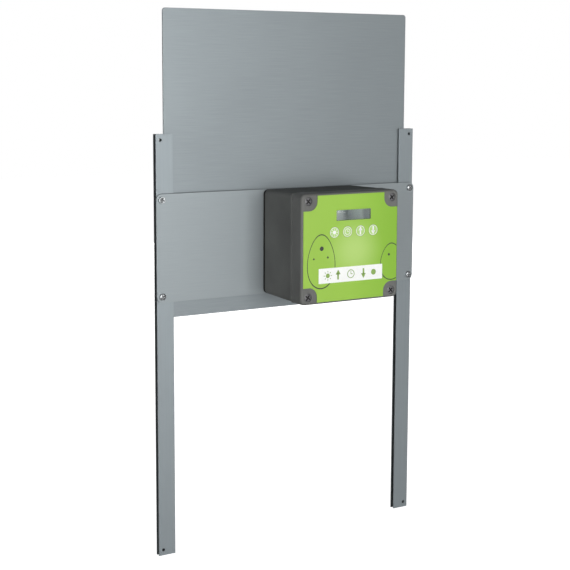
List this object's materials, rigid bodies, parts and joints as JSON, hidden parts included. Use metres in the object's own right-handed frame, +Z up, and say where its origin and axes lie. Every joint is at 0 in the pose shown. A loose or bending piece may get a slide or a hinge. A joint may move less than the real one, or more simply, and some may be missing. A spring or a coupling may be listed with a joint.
{
  "type": "automatic coop door",
  "caption": "Battery-powered sliding coop door: an aluminium shutter in two rails, raised by a cord drum inside a keypad control box.",
  "frame": {"origin": "on the wall plane, midway between the rails, level with the rails' foot", "axes": "+Z up along the rails, -Y out of the wall towards the viewer of the keypad, +X to the right seen from the front"},
  "size_m": [0.408, 0.1138, 0.72],
  "materials": {
    "rail_aluminium": "satin",
    "sheet_aluminium": "brushed",
    "zinc_steel": "satin",
    "rivet_aluminium": "satin",
    "housing_plastic": "matt",
    "screw_plastic": "satin",
    "black_plastic": "satin",
    "white_plastic": "satin",
    "seal_rubber": "matt",
    "front_foil": "satin",
    "key_plastic": "satin",
    "window_clear": "clear",
    "display_glass": "gloss",
    "board_laminate": "satin",
    "cord_braid": "matt",
    "cell_jacket": "gloss",
    "gearbox_alloy": "cast",
    "motor_can": "plated",
    "bush_brass": "satin"
  },
  "bodies": {
    "frame": {"battery_cell_1": "cell_jacket", "battery_cell_2": "cell_jacket", "battery_cell_3": "cell_jacket", "battery_cell_4": "cell_jacket", "battery_holder": "black_plastic", "battery_spring_1": "zinc_steel", "battery_spring_2": "zinc_steel", "battery_spring_3": "zinc_steel", "battery_spring_4": "zinc_steel", "board_screw_1": "zinc_steel", "board_screw_2": "zinc_steel", "box_base": "housing_plastic", "box_lid": "housing_plastic", "box_screw_1": "zinc_steel", "box_screw_2": "zinc_steel", "box_screw_3": "zinc_steel", "box_screw_4": "zinc_steel", "bracket_screw_1": "zinc_steel", "bracket_screw_2": "zinc_steel", "circuit_board": "board_laminate", "cord_guide": "white_plastic", "display_module": "display_glass", "display_window": "window_clear", "drive_bracket": "zinc_steel", "drum_bush": "bush_brass", "gearbox": "gearbox_alloy", "gearbox_screw_1": "zinc_steel", "gearbox_screw_2": "zinc_steel", "keypad_foil": "front_foil", "lid_screw_1": "screw_plastic", "lid_screw_2": "screw_plastic", "lid_screw_3": "screw_plastic", "lid_screw_4": "screw_plastic", "lid_seal": "seal_rubber", "lift_cord": "cord_braid", "motor": "motor_can", "mounting_plate": "sheet_aluminium", "plate_screw_1": "zinc_steel", "plate_screw_2": "zinc_steel", "plate_screw_3": "zinc_steel", "plate_screw_4": "zinc_steel", "rail_left": "rail_aluminium", "rail_nut_1": "zinc_steel", "rail_nut_2": "zinc_steel", "rail_nut_3": "zinc_steel", "rail_nut_4": "zinc_steel", "rail_right": "rail_aluminium"},
    "door": {"door_panel": "sheet_aluminium", "cord_anchor": "zinc_steel", "anchor_rivet_1": "rivet_aluminium", "anchor_rivet_2": "rivet_aluminium", "cord_knot": "cord_braid"},
    "drum": {"cord_drum": "white_plastic", "drum_shaft": "zinc_steel", "cord_winding": "cord_braid"},
    "key_set_cap": {"key_set": "key_plastic"},
    "key_clock_cap": {"key_clock": "key_plastic"},
    "key_up_cap": {"key_up": "key_plastic"},
    "key_down_cap": {"key_down": "key_plastic"}
  },
  "joints": [
    {"name": "door_slide", "type": "slide", "parent": "frame", "child": "door", "axis": [0, 0, -1], "range_m": [0, 0.318], "deforming": ["lift_cord"]},
    {"name": "drum_spin", "type": "hinge", "parent": "frame", "child": "drum", "pos_m": [0.012, -0.031, 0.372], "axis": [-1, 0, 0], "range_deg": [0, 1665]},
    {"name": "key_set_press", "type": "slide", "parent": "frame", "child": "key_set_cap", "axis": [0, 1, 0], "range_m": [0, 0.0005], "stiffness_N_per_m": 1200, "springref_m": -0.0005},
    {"name": "key_clock_press", "type": "slide", "parent": "frame", "child": "key_clock_cap", "axis": [0, 1, 0], "range_m": [0, 0.0005], "stiffness_N_per_m": 1200, "springref_m": -0.0005},
    {"name": "key_up_press", "type": "slide", "parent": "frame", "child": "key_up_cap", "axis": [0, 1, 0], "range_m": [0, 0.0005], "stiffness_N_per_m": 1200, "springref_m": -0.0005},
    {"name": "key_down_press", "type": "slide", "parent": "frame", "child": "key_down_cap", "axis": [0, 1, 0], "range_m": [0, 0.0005], "stiffness_N_per_m": 1200, "springref_m": -0.0005}
  ],
  "couplings": [
    {"joint": "drum_spin", "follows": "door_slide", "rad_per_m": 90.909}
  ]
}
